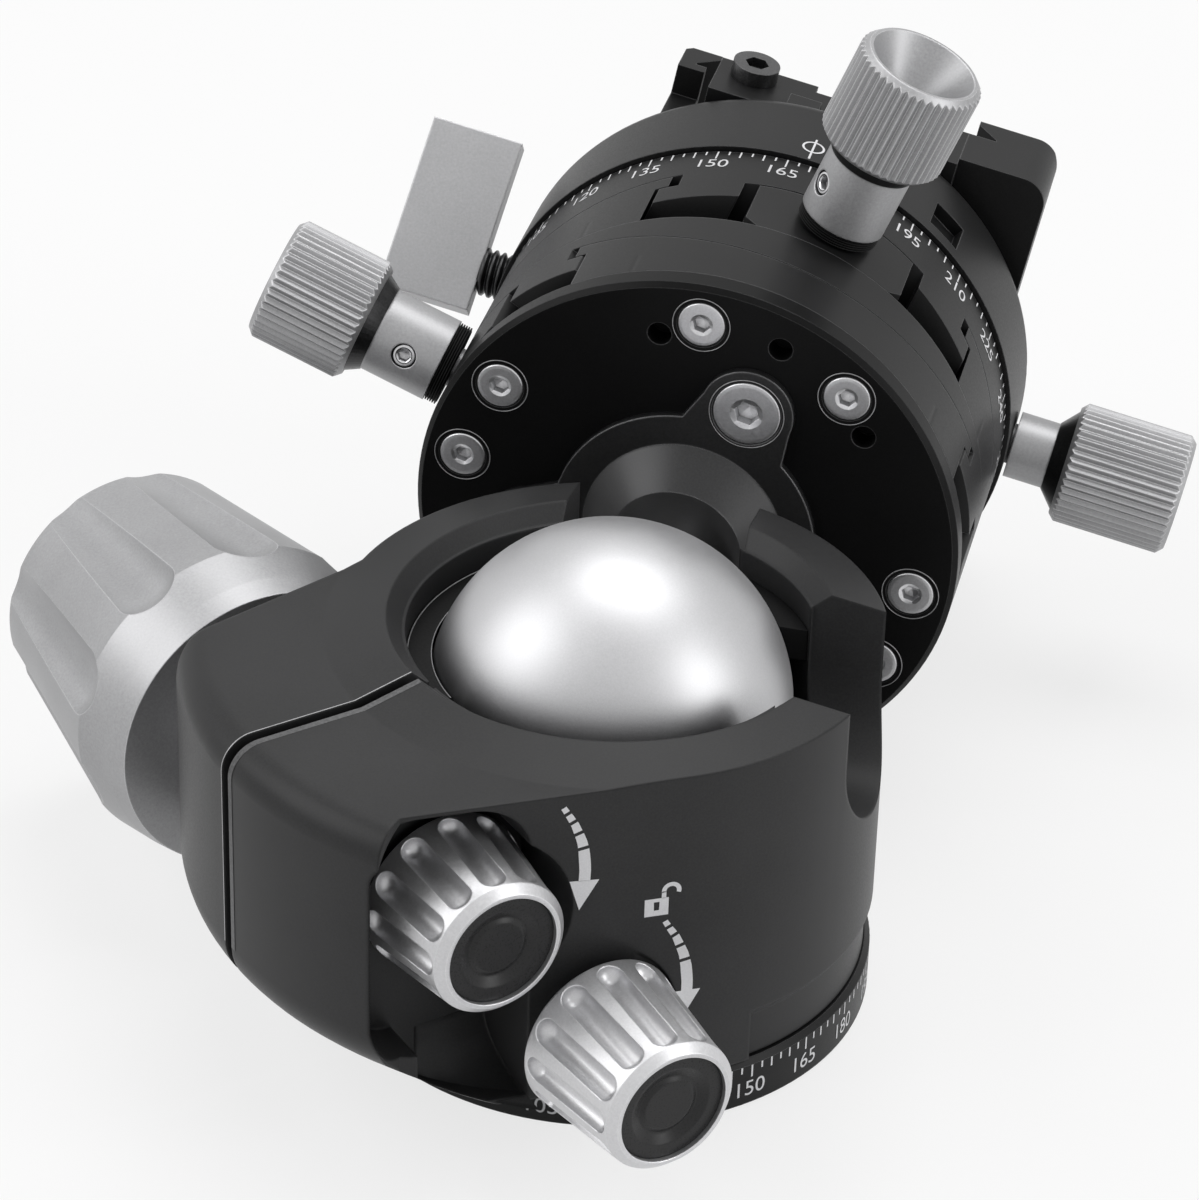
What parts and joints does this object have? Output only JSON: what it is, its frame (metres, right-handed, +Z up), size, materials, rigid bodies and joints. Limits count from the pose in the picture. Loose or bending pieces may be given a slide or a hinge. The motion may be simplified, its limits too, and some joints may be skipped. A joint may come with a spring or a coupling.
{
  "type": "geared ball head",
  "caption": "Tripod ball head laid over in its drop notch, with a panning base, clamping knobs, two geared tilt stages, a turntable and a screw clamp for dovetail camera plates.",
  "frame": {"origin": "centre of the tripod thread's mouth, on the flat underside of the panning base", "axes": "+Z up along the pan axis, +Y along the stem as it lies in the rear drop notch, +X to the right of that"},
  "size_m": [0.129, 0.1472, 0.0893],
  "materials": {
    "black_anodised": "satin black anodised",
    "housing_black": "satin charcoal anodised",
    "silver_blasted": "bead-blasted silver anodised",
    "ball_metal": "fine satin silver",
    "stem_grey": "satin grey",
    "steel": "machined",
    "dark_steel": "blackened",
    "brass": "machined",
    "liner": "matte black",
    "black_cap": "satin black"
  },
  "bodies": {
    "base": {"base_plate": "black_anodised", "thread_bush": "steel", "retaining_flange": "steel", "retaining_screws": "dark_steel"},
    "housing": {"housing": "housing_black", "lower_cup": "liner", "collet_ring": "liner", "thrust_sleeve": "silver_blasted", "pan_plunger": "brass"},
    "main_knob": {"clamp_bolt": "steel", "main_knob": "silver_blasted", "main_cap": "silver_blasted"},
    "drag_knob": {"drag_screw": "steel", "drag_knob": "silver_blasted", "drag_cap": "black_cap"},
    "pan_lock": {"pan_screw": "steel", "pan_knob": "silver_blasted", "pan_cap": "black_cap"},
    "ball": {"ball": "ball_metal"},
    "head": {"stem": "stem_grey", "flange_screws": "steel", "head_plate": "black_anodised", "plate_screws": "steel", "lower_guides": "black_anodised", "lower_worm_block": "black_anodised"},
    "lower_worm": {"lower_worm": "steel", "lower_washer": "liner", "lower_collar": "silver_blasted", "lower_grip": "silver_blasted", "lower_set_screw": "dark_steel"},
    "lower_carriage": {"lower_carriage": "black_anodised", "lower_rack": "brass", "upper_guides": "black_anodised", "upper_worm_block": "black_anodised"},
    "upper_worm": {"upper_worm": "steel", "upper_washer": "liner", "upper_collar": "silver_blasted", "upper_grip": "silver_blasted", "upper_set_screw": "dark_steel"},
    "upper_carriage": {"upper_carriage": "black_anodised", "upper_rack": "brass", "keeper_ring": "steel", "keeper_screws": "dark_steel"},
    "turntable": {"turntable": "black_anodised", "lock_pad": "brass", "clamp_body": "black_anodised", "clamp_key": "black_anodised", "clamp_bolts": "steel", "stop_screws": "dark_steel", "fixed_jaw": "black_anodised", "jaw_pins": "steel"},
    "turn_lock": {"lock_screw": "silver_blasted", "lock_grip": "silver_blasted"},
    "moving_jaw": {"moving_jaw": "black_anodised"},
    "jaw_screw": {"jaw_screw": "dark_steel", "paddle": "silver_blasted"}
  },
  "joints": [
    {"name": "pan_base", "type": "hinge", "parent": "base", "child": "housing", "pos_m": [0, 0, 0], "axis": [0, 0, 1], "continuous": true},
    {"name": "main_knob_turn", "type": "hinge", "parent": "housing", "child": "main_knob", "pos_m": [-0.01952, -0.01952, 0.0236], "axis": [-0.7071, 0.7071, 0], "range_deg": [-90, 180]},
    {"name": "drag_turn", "type": "hinge", "parent": "housing", "child": "drag_knob", "pos_m": [-0.02142, -0.02142, 0.0306], "axis": [0.7071, -0.7071, 0], "range_deg": [-360, 360]},
    {"name": "pan_lock_turn", "type": "hinge", "parent": "housing", "child": "pan_lock", "pos_m": [-0.01287, -0.01287, 0.0153], "axis": [0.7071, -0.7071, 0], "range_deg": [-180, 360]},
    {"name": "ball_tilt", "type": "hinge", "parent": "housing", "child": "ball", "pos_m": [0, 0, 0.0351], "axis": [1, 0, 0], "range_deg": [0, 130]},
    {"name": "stem_spin", "type": "hinge", "parent": "ball", "child": "head", "pos_m": [0, 0, 0.0351], "axis": [0, 1, 0], "continuous": true},
    {"name": "lower_tilt", "type": "hinge", "parent": "head", "child": "lower_carriage", "pos_m": [0, 0.142, 0.0351], "axis": [0.3746, 0, 0.9272], "range_deg": [-10, 10]},
    {"name": "lower_worm_turn", "type": "hinge", "parent": "head", "child": "lower_worm", "pos_m": [0, 0.046, 0.0351], "axis": [-0.9272, 0, 0.3746], "range_deg": [-1825, 1825]},
    {"name": "upper_tilt", "type": "hinge", "parent": "lower_carriage", "child": "upper_carriage", "pos_m": [0, 0.142, 0.0351], "axis": [0.9272, 0, -0.3746], "range_deg": [-10, 10]},
    {"name": "upper_worm_turn", "type": "hinge", "parent": "lower_carriage", "child": "upper_worm", "pos_m": [0, 0.0596, 0.0351], "axis": [0.3746, 0, 0.9272], "range_deg": [-1558, 1558]},
    {"name": "turn_pan", "type": "hinge", "parent": "upper_carriage", "child": "turntable", "pos_m": [0, 0.078, 0.0351], "axis": [0, 1, 0], "continuous": true},
    {"name": "turn_lock_turn", "type": "hinge", "parent": "turntable", "child": "turn_lock", "pos_m": [0, 0.078, 0.0351], "axis": [0.9816, 0, -0.1908], "range_deg": [-180, 360]},
    {"name": "jaw_slide", "type": "slide", "parent": "turntable", "child": "moving_jaw", "axis": [-0.9816, 0, 0.1908], "range_m": [-0.001, 0.003]},
    {"name": "jaw_screw_turn", "type": "hinge", "parent": "moving_jaw", "child": "jaw_screw", "pos_m": [0, 0.0794, 0.0351], "axis": [-0.9816, 0, 0.1908], "range_deg": [-361, 1081]}
  ],
  "couplings": [
    {"joint": "lower_worm_turn", "follows": "lower_tilt", "ratio": 182.31},
    {"joint": "upper_worm_turn", "follows": "upper_tilt", "ratio": 155.61},
    {"joint": "jaw_screw_turn", "follows": "jaw_slide", "rad_per_m": 6283.2}
  ]
}
